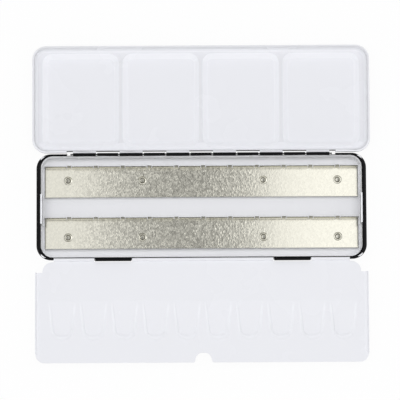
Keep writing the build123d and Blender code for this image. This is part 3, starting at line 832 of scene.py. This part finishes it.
class TIN_OT_insert(bpy.types.Operator):
    """Insert: white plate, bare tinplate rails and eyelets"""

    bl_idname = "tin.insert"
    bl_label = "Lift-out insert"

    def execute(self, context):
        dress_node("insert_plate", plate_enamel())
        for node in ("back_rail", "front_rail"):
            dress_node(node, bare_tinplate())
        self.eyelets(context.scene.tin_sizes)
        return {"FINISHED"}

    def eyelets(self, sizes):
        """Eight pressed eyelets: a cup with a sloping flange, spread under the plate."""
        low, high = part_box("rail_eyelets")
        foot, top = low.z, high.z
        plate_z, rail_z = 0.95 * MM, 1.65 * MM
        spread, neck = 2.1 * MM, 1.7 * MM
        profile = [(0.0, foot), (spread, foot), (spread, plate_z), (neck, plate_z), (neck, rail_z)]
        # flange
        profile += [(2.75 * MM, rail_z + 0.01 * MM), (2.7 * MM, rail_z + 0.09 * MM)]
        profile += [(2.25 * MM, top - 0.08 * MM), (2.05 * MM, top), (1.9 * MM, top - 0.06 * MM)]
        # cup
        profile += [(1.6 * MM, rail_z - 0.05 * MM), (1.4 * MM, plate_z + 0.15 * MM)]
        profile += [(1.1 * MM, plate_z + 0.02 * MM), (0.0, plate_z)]
        mesh = bmesh.new()
        for x, side, row in product((sizes.eyelets_inner, sizes.eyelets_outer), (-1, 1), (-1, 1)):
            place = Vector((side * x + sizes.eyelets_shift, row * sizes.eyelets_row, 0.0))
            chain = [mesh.verts.new(place + Vector((radius, 0.0, z))) for radius, z in profile]
            edges = [mesh.edges.new(pair) for pair in zip(chain, chain[1:])]
            bmesh.ops.spin(
                mesh, geom=chain + edges, cent=place, axis=(0, 0, 1), angle=2 * math.pi,
                steps=36, use_merge=True,
            )
        bmesh.ops.remove_doubles(mesh, verts=mesh.verts, dist=0.001 * MM)
        bmesh.ops.recalc_face_normals(mesh, faces=mesh.faces)
        piece = finish_piece(mesh, "eyelets_pressed", [eyelet_tinplate()], "insert", angle=50.0)
        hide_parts("rail_eyelets")


class TIN_OT_pins(bpy.types.Operator):
    """Hinge pins: steel wire"""

    bl_idname = "tin.pins"
    bl_label = "Hinge pins"

    def execute(self, context):
        for node in ("lid_hinge_pin", "flap_hinge_pin"):
            dress_node(node, steel_wire())
        return {"FINISHED"}


# Stage


def stage_card(name, size, z, material):
    """A large level card of the stage."""
    mesh = bmesh.new()
    bmesh.ops.create_grid(mesh, x_segments=1, y_segments=1, size=size)
    data = bpy.data.meshes.new(name)
    mesh.to_mesh(data)
    mesh.free()
    data.materials.append(material)
    card = bpy.data.objects.new(name, data)
    bpy.context.scene.collection.objects.link(card)
    card.location.z = z
    return card


def by_camera(tree, share, others, camera):
    """Mixes two shaders: one for the camera, as far as its share goes, and one for the rest."""
    path = new_node(tree, "ShaderNodeLightPath", (-300, 300))
    seen = maths(tree, (0, 300), "MULTIPLY", path.outputs["Is Camera Ray"], share)
    return joined(tree, "ShaderNodeMixShader", (300, 0), (seen, others, camera))


class TIN_OT_stage(bpy.types.Operator):
    """Stage: white floor, a soft lamp, room light, ceiling and camera"""

    bl_idname = "tin.stage"
    bl_label = "Stage"

    def execute(self, context):
        scene = context.scene
        stage = scene.tin_stage
        floor = stage_card("floor", 3.0, -0.05 * MM, self.floor_material(stage.floor_share))
        self.room_light(scene, stage)
        self.ceiling(stage)
        self.lamp(scene, stage)
        self.camera(scene, stage)
        scene.view_settings.view_transform = "Standard"
        return {"FINISHED"}

    def lamp(self, scene, stage):
        """A soft rectangular lamp overhead, which shiny surfaces don't show."""
        light = bpy.data.lights.new("top_softbox", "AREA")
        light.shape = "RECTANGLE"
        light.size, light.size_y = stage.top_size
        light.energy = stage.top_power
        light.color = (0.968, 0.974, 1.0)
        lamp = bpy.data.objects.new("top_softbox", light)
        lamp.location = stage.top_place
        scene.collection.objects.link(lamp)
        lamp.visible_glossy = False

    def camera(self, scene, stage):
        """Camera nearly overhead, far off with a long lens."""
        sensor = 36.0
        data = bpy.data.cameras.new("camera")
        data.sensor_width = sensor
        data.lens = sensor * stage.distance / stage.view_width
        data.clip_end = 20.0
        camera = bpy.data.objects.new("camera", data)
        scene.collection.objects.link(camera)
        back = Vector((0.0, -math.sin(stage.tilt), math.cos(stage.tilt)))
        camera.location = Vector(stage.aim) + back * stage.distance
        turn = Euler((stage.tilt, 0.0, 0.0)).to_matrix() @ Matrix.Rotation(-stage.roll, 3, "Z")
        camera.rotation_euler = turn.to_euler()
        scene.camera = camera

    def floor_material(self, share):
        """Pale floor, nearly plain white to the camera."""
        material = bpy.data.materials.new("floor_white")
        tree = emptied(material)
        paper = new_node(tree, "ShaderNodeBsdfDiffuse", (0, 100), Color=(0.9, 0.9, 0.9, 1.0))
        plain = new_node(tree, "ShaderNodeEmission", (0, -100), Color=(1, 1, 1, 1), Strength=1.0)
        mix = by_camera(tree, share, paper.outputs[0], plain.outputs[0])
        new_node(tree, "ShaderNodeOutputMaterial", (600, 0), Surface=mix)
        return material

    def room_light(self, scene, stage):
        """White room, brighter low down than overhead."""
        world = bpy.data.worlds.new("studio")
        scene.world = world
        tree = emptied(world)
        coords = new_node(tree, "ShaderNodeTexCoord", (-900, 100))
        toward = axes(tree, (-700, 100), coords.outputs["Generated"])
        levels = (stage.horizon_level, stage.zenith_level)
        height = remap(tree, (-400, 100), toward["Z"], (0.0, 1.0), levels)
        front = remap(tree, (-400, -200), toward["Y"], (0.0, -0.7), (1.0, stage.front_share))
        strength = maths(tree, (-150, 100), "MULTIPLY", height, front)
        room = new_node(
            tree, "ShaderNodeBackground", (0, 100), Color=(0.98, 0.985, 1.0, 1.0), Strength=strength
        )
        white = new_node(tree, "ShaderNodeBackground", (0, -100), Color=(1, 1, 1, 1), Strength=1.0)
        mix = by_camera(tree, 1.0, room.outputs[0], white.outputs[0])
        new_node(tree, "ShaderNodeOutputWorld", (600, 0), Surface=mix)

    def ceiling(self, stage):
        """Ceiling seen only in shiny surfaces: a darker gap overhead between two bright sides."""
        card = stage_card("ceiling", 6.0, stage.ceiling_height, self.ceiling_material(stage))
        card.visible_camera = False
        card.visible_diffuse = False
        card.visible_transmission = False
        card.visible_volume_scatter = False
        card.visible_shadow = False

    def ceiling_material(self, stage):
        """Light of the ceiling, set by the direction in which the tin sees it."""
        material = bpy.data.materials.new("ceiling_light")
        tree = emptied(material)
        material.cycles.emission_sampling = "NONE"
        place = new_node(tree, "ShaderNodeTexCoord", (-1300, 200)).outputs["Object"]
        above = (0.0, 0.0, stage.ceiling_height)
        seen = joined(tree, "ShaderNodeVectorMath", (-1100, 200), (place, above), operation="ADD")
        unit = joined(tree, "ShaderNodeVectorMath", (-900, 200), (seen,), operation="NORMALIZE")
        toward = axes(tree, (-700, 200), unit)

        def ramp(height, axis, source, strength=1.0):
            target = (0.0, strength)
            return remap(tree, (-400, height), toward[axis], source, target, "SMOOTHSTEP")

        window = ramp(800, "X", (0.3, 0.5), stage.window_light)
        left = ramp(500, "X", stage.left_ramp, stage.left_sky - stage.dark_sky)
        right = ramp(200, "X", stage.right_ramp, stage.right_sky - stage.dark_sky)
        sides = maths(tree, (-200, 400), "ADD", left, right)
        sides = maths(tree, (0, 400), "ADD", sides, stage.dark_sky)
        sides = maths(tree, (100, 500), "ADD", sides, window)

        # in front the light is even, and at the back it is lower
        even = (stage.left_sky + stage.right_sky) / 2
        front = ramp(-400, "Y", (-0.05, -0.35))
        back = ramp(-100, "Y", (0.35, 0.6))
        strength = sides
        for aim, share, height in ((even, front, 200), (stage.back_sky, back, 0)):
            change = maths(tree, (200, height), "SUBTRACT", aim, sides)
            strength = maths(tree, (400, height), "MULTIPLY_ADD", change, share, strength)
        light = new_node(
            tree, "ShaderNodeEmission", (700, 0), Color=(1.0, 1.0, 1.0, 1.0), Strength=strength
        )
        new_node(tree, "ShaderNodeOutputMaterial", (900, 0), Surface=light.outputs[0])
        return material


# Panel and start


class TIN_PT_panel(bpy.types.Panel):
    """Lists the pieces of the tin"""

    bl_label = "Watercolour tin"
    bl_space_type = "VIEW_3D"
    bl_region_type = "UI"
    bl_category = "Tin"

    def draw(self, context):
        layout = self.layout
        for group in SETTINGS:
            settings = getattr(context.scene, group)
            for name in settings.__annotations__:
                layout.prop(settings, name)
        for operator in OPERATORS:
            layout.operator(operator.bl_idname)


SETTINGS = {"tin_finishes": TinFinishes, "tin_sizes": TinSizes, "tin_stage": StageSettings}
OPERATORS = (TIN_OT_tray, TIN_OT_lid, TIN_OT_flap, TIN_OT_insert, TIN_OT_pins, TIN_OT_stage)


def register():
    for cls in (*SETTINGS.values(), *OPERATORS, TIN_PT_panel):
        bpy.utils.register_class(cls)
    for name, cls in SETTINGS.items():
        setattr(bpy.types.Scene, name, PointerProperty(type=cls))


def unregister():
    for name in SETTINGS:
        delattr(bpy.types.Scene, name)
    for cls in reversed((*SETTINGS.values(), *OPERATORS, TIN_PT_panel)):
        bpy.utils.unregister_class(cls)


def main():
    register()
    bpy.ops.tin.tray()
    bpy.ops.tin.lid()
    bpy.ops.tin.flap()
    bpy.ops.tin.insert()
    bpy.ops.tin.pins()
    bpy.ops.tin.stage()


if __name__ == "__main__":
    main()
